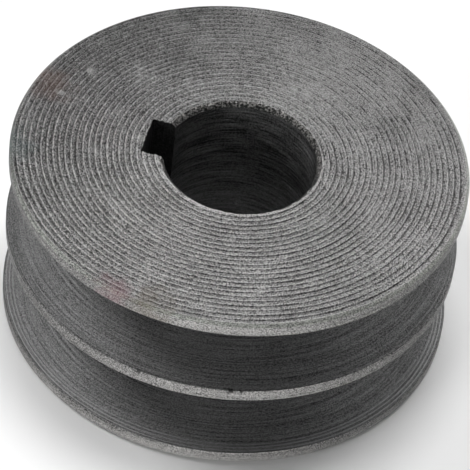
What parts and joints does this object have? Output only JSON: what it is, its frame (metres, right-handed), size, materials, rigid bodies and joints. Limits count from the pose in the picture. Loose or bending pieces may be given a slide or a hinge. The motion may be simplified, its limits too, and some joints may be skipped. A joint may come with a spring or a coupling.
{
  "type": "v belt pulley",
  "caption": "Flat-sided V belt pulley turned from one iron casting, with grooves round its rim, a keyed bore, and a set screw over the keyway.",
  "frame": {"origin": "middle of the lower face, on the bore's axis", "axes": "+Z along the bore's axis to the upper face, -X through the keyway and the set screw"},
  "size_m": [0.075, 0.075, 0.0326],
  "materials": {
    "machined_iron": "turned grey iron with coarse tool marks, dry and slightly stained",
    "blackened_steel": "black oxide, satin"
  },
  "bodies": {
    "sheave": {"sheave": "machined_iron"},
    "set_screw": {"set_screw": "blackened_steel"}
  },
  "joints": [
    {"name": "set_screw_travel", "type": "slide", "parent": "sheave", "child": "set_screw", "axis": [-1, 0, 0], "range_m": [-0.004, 0.007]}
  ]
}
